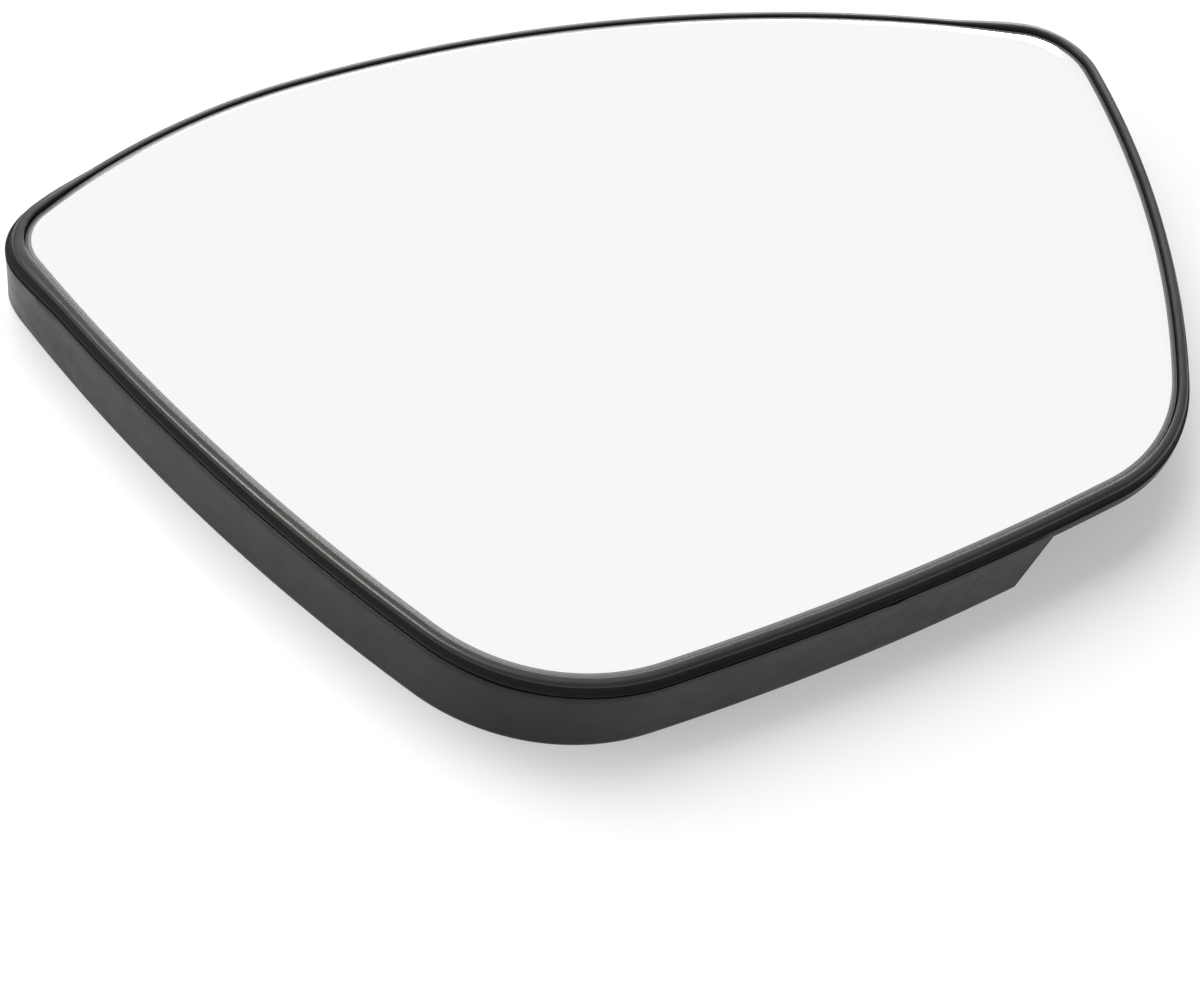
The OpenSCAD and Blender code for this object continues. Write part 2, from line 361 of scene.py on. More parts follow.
class MeshPart:
    """Vertices and faces in millimetres, gathered shell by shell.

    Attributes:
        weld: Distance in metres within which two points become one.
    """

    weld: float = 1e-7

    def __init__(self, name: str) -> None:
        """Start an empty part with its object's name."""
        self.name = name
        self.verts: list[Point] = []
        self.faces: list[tuple[int, ...]] = []
        self.slots: list[int] = []

    def ring(self, points: list[Point]) -> int:
        """Add a row of points and give the index of its first."""
        first = len(self.verts)
        self.verts.extend(points)
        return first

    def quads(self, a: int, b: int, n: int, closed: bool = True, slot: int = 0) -> None:
        """Join two rows of n points.

        Args:
            a: First index of one row.
            b: First index of the other row.
            n: Number of points in each.
            closed: Whether the last point joins the first.
            slot: Material slot of the faces.
        """
        for k in range(n if closed else n - 1):
            m = (k + 1) % n
            self.face((a + k, a + m, b + m, b + k), slot)

    def face(self, corners: tuple[int, ...], slot: int = 0) -> None:
        """Add one face with a material slot."""
        self.faces.append(corners)
        self.slots.append(slot)

    def swept(self, rows: list[list[Point]]) -> None:
        """Join closed sections that follow each other round a closed path."""
        firsts = [self.ring(r) for r in rows]
        for i, a in enumerate(firsts):
            self.quads(a, firsts[(i + 1) % len(firsts)], len(rows[0]))

    def build(self, sharp: float) -> bpy.types.Object:
        """Make the mesh object.

        Args:
            sharp: Angle in degrees above which an edge is shaded sharp.

        Returns:
            The object, linked into the scene.
        """
        mesh = bpy.data.meshes.new(self.name)
        mesh.from_pydata([tuple(c * MM for c in v) for v in self.verts], [], self.faces)
        for poly, slot in zip(mesh.polygons, self.slots):
            poly.material_index = slot
        work = bmesh.new()
        work.from_mesh(mesh)
        bmesh.ops.remove_doubles(work, verts=work.verts, dist=self.weld)
        bmesh.ops.recalc_face_normals(work, faces=work.faces)
        work.to_mesh(mesh)
        work.free()
        mesh.shade_smooth()
        mesh.set_sharp_from_angle(angle=math.radians(sharp))
        made = bpy.data.objects.new(self.name, mesh)
        bpy.context.scene.collection.objects.link(made)
        return made


class NodeGraph:
    """A short way to place and join the nodes of one tree."""

    def __init__(self, tree: bpy.types.NodeTree) -> None:
        """Empty the tree and keep it."""
        self.tree = tree
        tree.nodes.clear()

    def add(self, kind: str, **values: object) -> bpy.types.Node:
        """Add a node.

        Args:
            kind: Its Blender type.
            values: Its attributes or sockets by name, with _ for a space.

        Returns:
            The node.
        """
        node = self.tree.nodes.new(kind)
        for key, value in values.items():
            if hasattr(node, key):
                setattr(node, key, value)
            else:
                node.inputs[key.replace("_", " ")].default_value = value
        return node

    def join(self, a: bpy.types.Node, out: str | int, b: bpy.types.Node, into: str | int) -> None:
        """Link one socket to another."""
        self.tree.links.new(a.outputs[out], b.inputs[into])

    def seen(self) -> bpy.types.Node:
        """Tell camera, glossy and transmission rays from the others.

        Returns:
            The node whose output is 1 for them.
        """
        path = self.add("ShaderNodeLightPath")
        last, source = path, "Is Transmission Ray"
        for kind in ("Is Glossy Ray", "Is Camera Ray"):
            either = self.add("ShaderNodeMath", operation="MAXIMUM")
            self.join(last, source, either, 0)
            self.join(path, kind, either, 1)
            last, source = either, 0
        return last


class FinishGraph(NodeGraph):
    """The nodes of one finish round a principled shader."""

    def __init__(self, name: Finish) -> None:
        """Start the material with its shader and output."""
        self.material = bpy.data.materials.new(name.value)
        self.material.use_nodes = True
        super().__init__(self.material.node_tree)
        self.out = self.add("ShaderNodeOutputMaterial")
        self.shader = self.add("ShaderNodeBsdfPrincipled")
        self.join(self.shader, "BSDF", self.out, "Surface")

    def set(self, socket: str, value: float | Colour) -> None:
        """Set one of the shader's own sockets."""
        self.shader.inputs[socket].default_value = value

    def cells(self, kind: str, scale: float, **values: float) -> bpy.types.Node:
        """Add a pattern in object space.

        Args:
            kind: The Blender type of its node.
            scale: Its scale in cells per metre.
            values: Its other sockets by name.

        Returns:
            The pattern's node.
        """
        place = self.add("ShaderNodeTexCoord")
        pattern = self.add(kind, Scale=scale, **values)
        self.join(place, "Object", pattern, "Vector")
        return pattern

    def grain(self, scale: float, detail: float, rough: float = 0.5) -> bpy.types.Node:
        """Add noise in object space, with its scale in cells per metre."""
        return self.cells("ShaderNodeTexNoise", scale, Detail=detail, Roughness=rough)

    def spread(self, source: bpy.types.Node, low: float, high: float, into: str) -> None:
        """Send a noise to a shader socket as a range of values."""
        span = self.add("ShaderNodeMapRange", From_Min=0.3, From_Max=0.7, To_Min=low, To_Max=high)
        self.join(source, 0, span, "Value")
        self.join(span, "Result", self.shader, into)

    def tinted(self, source: bpy.types.Node, low: Colour, high: Colour,
               start: float = 0.35, end: float = 0.65) -> None:
        """Send a pattern to the base colour as a blend of two colours.

        Args:
            source: The pattern.
            low: Colour where the pattern is at its start or below.
            high: Colour where it is at its end or above.
            start: The pattern's value at which the blend starts.
            end: Its value at which the blend ends.
        """
        ramp = self.add("ShaderNodeValToRGB")
        for stop, place, colour in zip(ramp.color_ramp.elements, (start, end), (low, high)):
            stop.position, stop.color = place, colour
        self.join(source, 0, ramp, "Fac")
        self.join(ramp, "Color", self.shader, "Base Color")

    def bump(self, source: bpy.types.Node, strength: float, height: float,
             under: bpy.types.Node | None = None) -> bpy.types.Node:
        """Add relief to the shader.

        Args:
            source: The pattern that it follows.
            strength: Its share of the full effect.
            height: Its height in metres.
            under: A coarser or finer relief that it lies on.

        Returns:
            The relief's node.
        """
        relief = self.add("ShaderNodeBump", Strength=strength, Distance=height)
        self.join(source, 0, relief, "Height")
        if under is not None:
            self.join(under, "Normal", relief, "Normal")
        self.join(relief, "Normal", self.shader, "Normal")
        return relief


@dataclass(frozen=True)
class SatinPlastic:
    """Black moulded plastic with a fine spark-eroded satin."""

    name: Finish = Finish.SATIN_PLASTIC
    colour: Colour = grey(0.016, 0.05)
    rubbed: Colour = grey(0.021, 0.06)
    roughness: float = 0.36
    index: float = 1.44
    grain_mm: float = 0.16
    grain_height: float = 0.00002
    wave_height: float = 0.0003

    def make(self) -> bpy.types.Material:
        """Make the plastic.

        Returns:
            The material, with its grain, its cloudy gloss and its rubbed places.
        """
        g = FinishGraph(self.name)
        g.set("IOR", self.index)
        patches = g.grain(scale=60, detail=3)
        g.tinted(patches, self.colour, self.rubbed)
        cloudy = g.grain(scale=240, detail=4, rough=0.6)
        g.spread(cloudy, self.roughness - 0.05, self.roughness + 0.06, "Roughness")
        fine = g.grain(scale=1 / (self.grain_mm * MM), detail=2)
        relief = g.bump(fine, strength=0.18, height=self.grain_height)
        waves = g.grain(scale=90, detail=2)
        g.bump(waves, strength=0.05, height=self.wave_height, under=relief)
        return g.material


@dataclass(frozen=True)
class SilveredGlass:
    """The mirror coating behind clear float glass."""

    colour: Colour = (0.93, 0.934, 0.932, 1.0)
    roughness: float = 0.015
    cloud: float = 0.992

    def make(self) -> bpy.types.Material:
        """Make the mirror.

        Returns:
            The material, with a faint wiping haze in its gloss.
        """
        g = FinishGraph(Finish.SILVERED)
        g.set("Metallic", 1.0)
        haze = g.grain(scale=35, detail=5, rough=0.55)
        g.spread(haze, self.roughness, self.roughness + 0.02, "Roughness")
        tone = g.grain(scale=14, detail=2)
        dark = tuple(c * self.cloud for c in self.colour[:3]) + (1.0,)
        g.tinted(tone, dark, self.colour)
        return g.material


@dataclass(frozen=True)
class GroundEdge:
    """The seamed edge of the pane, matt and slightly green. Its lighter copy on the seam is painted
    reflection, and its darker copy is painted shade.
    """

    name: Finish = Finish.GROUND_EDGE
    colour: Colour = (0.13, 0.145, 0.15, 1.0)
    chipped: Colour = (0.2, 0.22, 0.225, 1.0)
    roughness: float = 0.16
    index: float = 1.52

    def make(self) -> bpy.types.Material:
        """Make the ground glass.

        Returns:
            The material, with its stone marks.
        """
        g = FinishGraph(self.name)
        marks = g.grain(scale=2600, detail=3, rough=0.6)
        g.tinted(marks, self.colour, self.chipped)
        g.spread(marks, self.roughness, self.roughness + 0.12, "Roughness")
        g.set("IOR", self.index)
        g.bump(marks, strength=0.15, height=0.00001)
        return g.material


@dataclass(frozen=True)
class AdhesiveFilm:
    """Double-sided foam film that bonds the pane to the plate."""

    colour: Colour = grey(0.46, 0.02)
    pores: Colour = grey(0.36, 0.02)

    def make(self) -> bpy.types.Material:
        """Make the film.

        Returns:
            The material, with the closed pores of its foam.
        """
        g = FinishGraph(Finish.ADHESIVE)
        cells = g.cells("ShaderNodeTexVoronoi", scale=2500.0)
        g.tinted(cells, self.pores, self.colour, start=0.1, end=0.5)
        g.spread(g.grain(scale=400, detail=3), 0.6, 0.8, "Roughness")
        g.bump(cells, strength=0.25, height=0.00004)
        return g.material


@dataclass
class RimSection:
    """The section of the rim and skirt, as distances out from the pane's edge and heights.

    Attributes:
        flank_face: The first face of the flank below the bead, counted along the section.
        skirt_face: The first face from the lip on.
        lip: The lip's points, out from the rim's edge.
        plain_side: The points that stand in for lip and groove where the rim is low.
        skirt_side: How many points of the upper part lie below the groove.
    """

    glass_gap: float = 0.15
    bead_w: float = 1.5
    bead_rise: float = 0.8
    top_bead_rise: float = 0.2
    bead_inner_r: float = 0.12
    bead_outer_r: float = 0.8
    bead_crown: float = 0.04
    rim_w: float = 2.175
    lip_depth: float = 1.15
    lip_t: float = 0.15
    flank_curve: float = 2.0
    flank_face: int = 23
    skirt_face: int = 33
    groove_h: float = 0.25
    groove_depth: float = 0.15
    skirt_step: float = 0.145
    low_depth: float = 2.85
    skirt_wall: float = 1.5
    skirt_draft: float = 1.2
    plate_low: float = 4.1
    pad_low: float = 2.4
    embed: float = 0.6
    foot_r: float = 0.12
    wall_heights: tuple[float, ...] = (-1.6, -0.2)
    crown_shares: tuple[float, ...] = (0.2, 0.35, 0.5, 0.65, 0.8)
    flank_shares: tuple[float, ...] = (0.06, 0.14, 0.23, 0.33, 0.44, 0.56, 0.7, 0.85)
    skirt_shares: tuple[float, ...] = (0.12, 0.3, 0.5, 0.7, 0.86, 0.95)
    lip: tuple[Plan, ...] = ((-0.05, -1.14), (-0.025, -1.155), (-0.008, -1.18), (0.0, -1.21))
    plain_side: tuple[Plan, ...] = (
        (-0.05, -1.14), (-0.025, -1.16), (-0.008, -1.19), (0.0, -1.24), (0.0, -1.3), (0.01, -1.4),
        (0.02, -1.5), (0.025, -1.6), (0.03, -1.7), (0.03, -1.8), (0.03, -1.9))
    skirt_side: int = 4

    def over_the_rim(self, parted: float, lowered: float) -> list[Plan]:
        """Give the upper part of the section, from the gap over the bead to the parting line.

        Args:
            parted: 1 for the lip and groove over the skirt, 0 for the plain low rim.
            lowered: 1 for the low bead of the top edge, 0 for the full bead.

        Returns:
            Points from the plate up the inner wall, over the bead and down to the parting line.
        """
        g, rise = self.glass_gap, self.bead_rise + (self.top_bead_rise - self.bead_rise) * lowered
        top = rise - self.bead_crown
        outer = g + self.bead_w
        out = g + self.rim_w
        pts: list[Plan] = [(g, z) for z in (-self.pad_low - self.embed, *self.wall_heights)]
        inner_c = (g + self.bead_inner_r, top - self.bead_inner_r)
        outer_c = (outer - self.bead_outer_r, top - self.bead_outer_r)
        width = outer_c[0] - inner_c[0]
        pts += rounded(inner_c, self.bead_inner_r, 180, 84)
        pts += [(inner_c[0] + width * t, top + self.bead_crown * 4 * t * (1 - t))
                for t in self.crown_shares]
        pts += rounded(outer_c, self.bead_outer_r, 86, 76)
        drop = self.lip_depth + top - self.bead_outer_r
        pts += [(outer + (out - outer) * t, drop * (1 - t) ** self.flank_curve - self.lip_depth)
                for t in self.flank_shares]
        edge = -self.lip_depth - self.lip_t
        low = edge - self.groove_h
        deep, step = out - self.groove_depth, out + self.skirt_step
        groove = [(out, edge + 0.04), (out - 0.02, edge), (deep, edge), (deep, low),
                  (step - 0.05, low), (step - 0.012, low - 0.02), (step, low - 0.06)]
        ledge = [(out + u, v) for u, v in self.lip] + groove
        plain = [(out + u, v) for u, v in self.plain_side]
        pts += [between(a, b, parted) for a, b in zip(plain, ledge)]
        return pts

    def below_the_groove(self, start: Plan, face: float, full: float, leaning: float) -> list[Plan]:
        """Give the skirt's outer face, foot and inner face.

        Args:
            start: Where the upper part of the section ends.
            face: Height of the pane's edge at this station.
            full: 1 for the full skirt and 0 for the low rim.
            leaning: Share of the draft that the skirt has here.

        Returns:
            Points from under the groove round the foot and up to the plate.
        """
        out = self.glass_gap + self.rim_w + self.skirt_step
        low_foot = (out - self.skirt_step, -self.low_depth)
        tall_foot = (out - self.skirt_draft * leaning, -face)
        foot = between(low_foot, tall_foot, full)
        heel = between((self.glass_gap + self.embed, -self.plate_low),
                        (tall_foot[0] - self.skirt_wall, -face), full)
        inner = (self.glass_gap + self.embed / 2, -self.plate_low + self.embed)
        r = self.foot_r
        under = (foot[0] - r, foot[1])
        pts = [between(start, foot, t) for t in self.skirt_shares]
        pts += [(foot[0] + r * 0.1, foot[1] + r), (foot[0] - r * 0.25, foot[1] + r * 0.3), under]
        pts += [between(under, heel, 0.5), heel]
        pts += [between(heel, inner, t) for t in (0.25, 0.5, 0.75)]
        return pts + [inner]


@dataclass(frozen=True)
class Flaw:
    """A place on the parting line where the groove is moulded taller than it should be.

    Attributes:
        place: Its middle.
        reach: Distance over which it runs out.
        extra: Height that it adds in the middle.
    """

    place: Plan
    reach: float
    extra: float

    def at(self, p: Plan) -> float:
        """Give the height that it adds at a plan position."""
        return self.extra * max(0.0, 1 - math.dist(p, self.place) / self.reach)


@dataclass
class GlassHolder:
    """The black moulding: rim and skirt, back plate, ribs and clip collar."""

    outline: PaneOutline
    dome: PaneDome
    section: RimSection = field(default_factory=RimSection)
    plate_top: float = 2.4
    plate_low: float = 4.1
    rib_low: float = 7.1
    rib_t: float = 1.4
    border_inset: float = 3.7
    rib_count: int = 12
    ring_rib_r: float = 43.0
    bore_r: float = 27.0
    collar_wall: float = 2.2
    finger_count: int = 8
    slot_w: float = 2.4
    slot_depth: float = 9.0
    key_slot_w: float = 7.0
    snap_z: float = 2.0
    snap_h: float = 1.6
    snap_depth: float = 0.6
    snap_slope: float = 0.15
    moulded_r: float = 0.15
    collar_step: float = 3.0
    collar_edge: float = 0.35
    rib_edge_r: float = 0.25
    rib_steps: int = 16
    ring_steps: int = 120
    plate_shares: tuple[float, ...] = (0.015, 0.15, 0.3, 0.45, 0.6, 0.75, 0.88, 1.0)
    plate_overlap: float = 0.3
    embed: float = 0.6
    burr: Flaw = Flaw((3.4, -64.0), 2.4, 0.4)
    wide_groove: Flaw = Flaw((-57.0, -53.5), 7.0, 0.22)

    def rim_and_skirt(self) -> bpy.types.Object:
        """Sweep the rim's section round the outline.

        Returns:
            The rim and skirt, with the flank and the skirt in slots of their own.
        """
        part = MeshPart("holder_rim_and_skirt")
        section = self.section
        gap, side = section.glass_gap, section.skirt_side
        rows: list[list[Point]] = []
        for s in self.outline.stations(longest=0.8, finest=1.0):
            face = self.dome.height(s.at(0.0))
            plain = section.over_the_rim(s.parted, s.lowered)
            upper = [(gap + s.wide * (u - gap), v) for u, v in plain]
            edge = s.at(section.rim_w)
            dip = self.burr.at(edge) + self.wide_groove.at(edge)
            upper[-side:] = [(u, v - dip) for u, v in upper[-side:]]
            points = upper + section.below_the_groove(upper[-1], face, s.full, s.leaning)
            rows.append([(*s.at(u), face + v) for u, v in points])
        part.swept(rows)
        count = len(rows[0])
        # Slot 1, from the flank on, takes the darker copy of the plastic with painted shade; slot
        # 2, from the lip on, takes the skirt's darker copy with painted shade.
        part.slots = [(i % count >= section.flank_face) + (i % count >= section.skirt_face)
                      for i in range(len(part.slots))]
        return part.build(sharp=26)

    def back_plate(self) -> bpy.types.Object:
        """Make the domed plate behind the pane.

        Returns:
            The plate.
        """
        part = MeshPart("holder_back_plate")
        reach = self.section.glass_gap + self.plate_overlap
        edge = [s.at(reach) for s in self.outline.stations(longest=2.5, finest=6.0)]
        n = len(edge)
        shares = self.plate_shares
        for depth in (self.plate_top, self.plate_low):
            rows = [part.ring([self.dome.on((x * t, y * t), depth) for x, y in edge])
                    for t in shares]
            for a, b in zip(rows, rows[1:]):
                part.quads(a, b, n)
            part.face(tuple(range(rows[0], rows[0] + n)))
        half = len(shares) * n
        part.quads((len(shares) - 1) * n, half + (len(shares) - 1) * n, n)
        return part.build(sharp=40)

    def _rib(self, part: MeshPart, left: list[Plan], right: list[Plan], closed: bool) -> None:
        """Add one rib between two plan lines, with rounded lower corners.

        Args:
            part: The part that takes the rib.
            left: Points of one face of the rib.
            right: Points of its other face.
            closed: Whether the rib runs round on itself.
        """
        r, root, low = self.rib_edge_r, self.plate_low - self.embed, self.rib_low
        rows = []
        for a, b in zip(left, right):
            w = math.dist(a, b)
            line = [(0.0, root), (0.0, low - r), (r * 0.3, low - r * 0.3), (r, low),
                    (w - r, low), (w - r * 0.3, low - r * 0.3), (w, low - r), (w, root)]
            rows.append([self.dome.on(between(a, b, u / w), d) for u, d in line])
        if closed:
            part.swept(rows)
            return
        n = len(rows[0])
        firsts = [part.ring(row) for row in rows]
        for a, b in zip(firsts, firsts[1:]):
            part.quads(a, b, n)
        for end in (firsts[0], firsts[-1]):
            part.face(tuple(range(end, end + n)))

    def _reach(self, angle: float, inset: float) -> float:
        """Measure from the axis to a line inside the outline.

        Args:
            angle: Direction in radians.
            inset: How far inside the pane's edge that line runs.

        Returns:
            The distance.
        """
        best, parallel, slack = 0.0, 1e-9, 1e-6
        ray = (math.cos(angle), math.sin(angle))
        pts = [s.at(-inset) for s in self.outline.stations(longest=1.5, finest=6.0)]
        for a, b in zip(pts, pts[1:] + pts[:1]):
            d = (b[0] - a[0], b[1] - a[1])
            den = crossed(ray, d)
            if abs(den) < parallel:
                continue
            t, u = crossed(a, d) / den, crossed(a, ray) / den
            if t > 0 and -slack <= u <= 1 + slack:
                best = max(best, t)
        return best

    def ribs(self) -> bpy.types.Object:
        """Make the spokes, the round rib and the border rib.

        Returns:
            The lattice, as one object.
        """
        part = MeshPart("holder_ribs")
        half = self.rib_t / 2
        for i in range(self.rib_count):
            a = math.tau / self.rib_count * (i + 0.5)
            d, q = (math.cos(a), math.sin(a)), (-math.sin(a), math.cos(a))
            start = self.bore_r + self.collar_wall - self.embed
            end = self._reach(a, self.border_inset + half)
            runs = [start + (end - start) * k / self.rib_steps for k in range(self.rib_steps + 1)]
            left = [(d[0] * t - q[0] * half, d[1] * t - q[1] * half) for t in runs]
            right = [(d[0] * t + q[0] * half, d[1] * t + q[1] * half) for t in runs]
            self._rib(part, left, right, closed=False)
        turns = [math.tau * k / self.ring_steps for k in range(self.ring_steps)]
        inner, outer = ([(math.cos(a) * r, math.sin(a) * r) for a in turns]
                        for r in (self.ring_rib_r, self.ring_rib_r + self.rib_t))
        self._rib(part, inner, outer, closed=True)
        border = self.outline.stations(longest=2.0, finest=5.0)
        self._rib(part, [s.at(-self.border_inset - self.rib_t) for s in border],
                  [s.at(-self.border_inset) for s in border], closed=True)
        return part.build(sharp=35)

    def _collar_angles(self) -> tuple[list[float], list[bool]]:
        """Divide the collar into steps, with its slots in place.

        Returns:
            The angles in radians at which the steps start, and which steps lie in a slot.
        """
        marks: list[tuple[float, float]] = []
        for i in range(self.finger_count):
            width = self.key_slot_w if i == 0 else self.slot_w
            middle = math.radians(90 + 360 / self.finger_count * i)
            reach = width / 2 / (self.bore_r + self.collar_wall / 2)
            marks.append((middle - reach, middle + reach))
        angles: list[float] = []
        in_slot: list[bool] = []
        for i, (a, b) in enumerate(marks):
            after = marks[(i + 1) % len(marks)][0] + (math.tau if i == len(marks) - 1 else 0)
            for low, high, slot in ((a, b, True), (b, after, False)):
                n = max(2, math.ceil(math.degrees(high - low) / self.collar_step))
                for k in range(n):
                    angles.append(low + (high - low) * k / n)
                    in_slot.append(slot)
        return angles, in_slot

    def clip_collar(self) -> bpy.types.Object:
        """Make the slotted collar with its snap groove.

        Returns:
            The collar, with its edges rounded.
        """
        part = MeshPart("holder_clip_collar")
        bore, outer = self.bore_r, self.bore_r + self.collar_wall
        top = self.dome.height((outer, 0.0), self.plate_low) + self.embed
        z2, z3 = self.snap_z, self.snap_z + self.snap_h
        deep, slope, cut = bore + self.snap_depth, self.snap_slope, self.collar_edge
        lower = [(bore, self.slot_depth), (bore, z3), (deep, z3 - slope), (deep, z2 + slope),
                 (bore, z2), (bore, cut), (bore + cut, 0.0),
                 (outer - cut, 0.0), (outer, cut), (outer, self.slot_depth)]
        upper = [(bore, top), (outer, top)]
        angles, in_slot = self._collar_angles()
        n = len(angles)
        low_rows, top_rows = (
            [part.ring([(r * math.cos(a), r * math.sin(a), z) for a in angles]) for r, z in side]
            for side in (lower, upper))
        inner_edge, outer_edge = low_rows[0], low_rows[-1]
        solid = ((top_rows[0], inner_edge), (top_rows[1], outer_edge), (top_rows[0], top_rows[1]))
        for k in range(n):
            m = (k + 1) % n
            for a, b in solid:
                part.face((a + k, a + m, b + m, b + k))
            if in_slot[k]:
                part.face((inner_edge + k, inner_edge + m, outer_edge + m, outer_edge + k))
            else:
                for a, b in zip(low_rows, low_rows[1:]):
                    part.face((a + k, a + m, b + m, b + k))
            if in_slot[k] != in_slot[k - 1]:
                part.face(tuple(r + k for r in low_rows))
        made = part.build(sharp=35)
        edge = made.modifiers.new("moulded_edges", "BEVEL")
        edge.width = self.moulded_r * MM
        edge.segments = 2
        edge.limit_method = "ANGLE"
        edge.angle_limit = math.radians(50)
        return made

    def dress(self, finish: bpy.types.Material, flank_painted_shade: bpy.types.Material,
              outer: bpy.types.Material) -> list[bpy.types.Object]:
        """Build every part of the moulding and give it the plastic.

        Args:
            finish: Finish of the bead and of all the back.
            flank_painted_shade: Finish of the flank below the bead, a darker and less glossy copy
                of the plastic that paints the shade of the trough there.
            outer: Finish of the lip and the skirt, a darker and less glossy copy of the plastic
                that paints their shade.

        Returns:
            The four parts of the moulding.
        """
        made = [self.rim_and_skirt(), self.back_plate(), self.ribs(), self.clip_collar()]
        for piece in made:
            piece.data.materials.append(finish)
            if piece is made[0]:
                piece.data.materials.append(flank_painted_shade)
                piece.data.materials.append(outer)
            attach(piece, "root")
            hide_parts("glass_holder")
        return made


@dataclass
class MirrorPane:
    """The convex pane with its seamed edge.

    Attributes:
        seam: The seam's points, as distances out from the pane's edge and heights.
        seam_slots: The material slot of the face that ends at each of them. Slot 1 is the band of
            painted reflection and slot 2 the band of painted shade.
    """

    outline: PaneOutline
    dome: PaneDome
    thickness: float = 2.0
    bevel_w: float = 1.02
    seam: tuple[Plan, ...] = ((-0.95, -0.008), (-0.88, -0.02), (-0.55, -0.088), (-0.16, -0.168),
                              (-0.1, -0.192), (-0.04, -0.245), (0.0, -0.34))
    seam_slots: tuple[int, ...] = (0, 1, 1, 2, 1, 1, 3)
    side_slot: int = 3
    arris: float = 0.1
    face_shares: tuple[float, ...] = (0.02, 0.1, 0.2, 0.3, 0.4, 0.5, 0.6, 0.7, 0.8, 0.9, 0.97, 1.0)
    back_shares: tuple[float, ...] = (0.66, 0.33, 0.02)

    def pane(self) -> bpy.types.Object:
        """Make the domed pane with its seam and its ground side.

        Returns:
            The pane.
        """
        part = MeshPart("mirror_pane")
        stations = self.outline.stations(longest=1.2, finest=3.5)
        n = len(stations)
        inner = [s.at(-self.bevel_w) for s in stations]
        rows = [part.ring([self.dome.on((x * t, y * t)) for x, y in inner])
                for t in self.face_shares]
        part.face(tuple(range(rows[0], rows[0] + n)))
        for a, b in zip(rows, rows[1:]):
            part.quads(a, b, n)
        last = rows[-1]
        side = ((0.0, -self.thickness + self.arris), (-self.arris, -self.thickness))
        slots = self.seam_slots + (self.side_slot,) * len(side)
        for (u, v), slot in zip(self.seam + side, slots):
            ring = part.ring([(*s.at(u), self.dome.height(s.at(u)) + v) for s in stations])
            part.quads(last, ring, n, slot=slot)
            last = ring
        for t in self.back_shares:
            back = part.ring([self.dome.on((x * t, y * t), self.thickness) for x, y in inner])
            part.quads(last, back, n, slot=self.side_slot)
            last = back
        part.face(tuple(range(last, last + n)), self.side_slot)
        return part.build(sharp=30)

    def dress(self, finishes: list[bpy.types.Material]) -> bpy.types.Object:
        """Build the pane and give it its finishes.

        Args:
            finishes: Finishes of the face, the seam's band of painted reflection, the seam's band
                of painted shade and the edge.

        Returns:
            The pane.
        """
        made = self.pane()
        for finish in finishes:
            made.data.materials.append(finish)
        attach(made, "root")
        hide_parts("mirror_glass")
        return made


@dataclass
class AdhesivePad:
    """The film between the pane and the plate, which stays as it is in the frame."""

    def dress(self, finish: bpy.types.Material) -> bpy.types.Object:
        """Give the film its finish.

        Args:
            finish: The foam.

        Returns:
            The film's own object from the frame.
        """
        pad = frame["nodes"]["adhesive_pad"]
        pad.data.materials.clear()
        pad.data.materials.append(finish)
        return pad


@dataclass(frozen=True)
class Softbox:
    """One rectangular softbox.

    Attributes:
        name: Name of the lamp.
        place: Where it hangs, in metres.
        size: Its width in metres.
        power: Its power in watts.
        mirrored: True to light glossy reflections only, False to light dull faces only.
        aim: The point that it faces, in metres.
        stretch: Its height as a multiple of its width.
        colour: Colour of its light.
    """

    name: str
    place: Point
    size: float
    power: float
    mirrored: bool
    aim: Point = (0.0, 0.0, 0.0)
    stretch: float = 1.0
    colour: tuple[float, float, float] = (1.0, 1.0, 1.0)

    def hang(self) -> bpy.types.Object:
        """Make the lamp and turn it to its aim.

        Returns:
            The lamp.
        """
        light = bpy.data.lights.new(self.name, "AREA")
        light.shape = "RECTANGLE"
        light.size = self.size
        light.size_y = self.size * self.stretch
        light.energy = self.power
        light.color = self.colour
        made = bpy.data.objects.new(self.name, light)
        made.location = self.place
        facing = Vector(self.aim) - Vector(self.place)
        made.rotation_euler = facing.to_track_quat("-Z", "Y").to_euler()
        made.visible_glossy = self.mirrored
        made.visible_diffuse = not self.mirrored
        bpy.context.scene.collection.objects.link(made)
        return made


LAMPS = (
    Softbox("top_softbox", (-0.15, 0.6, 1.0), size=1.0, power=17.0, mirrored=False),
    Softbox("left_softbox", (-0.8, 0.1, 0.5), size=0.4, power=2.5, mirrored=False,
            aim=(-0.07, 0.0, 0.0)),
    Softbox("bead_spot", (-0.515, 0.145, 0.675), size=0.12, power=9.0, mirrored=True,
            aim=(-0.075, -0.015, 0.015), stretch=5.0, colour=(1.0, 0.94, 0.89)),
    Softbox("back_softbox", (0.55, 0.85, 0.08), size=0.9, power=5.0, mirrored=True),
    Softbox("far_spot", (0.3, 0.85, 0.39), size=0.3, power=3.0, mirrored=True),
    Softbox("side_spot", (0.65, 0.66, 0.38), size=0.3, power=3.0, mirrored=True),
)


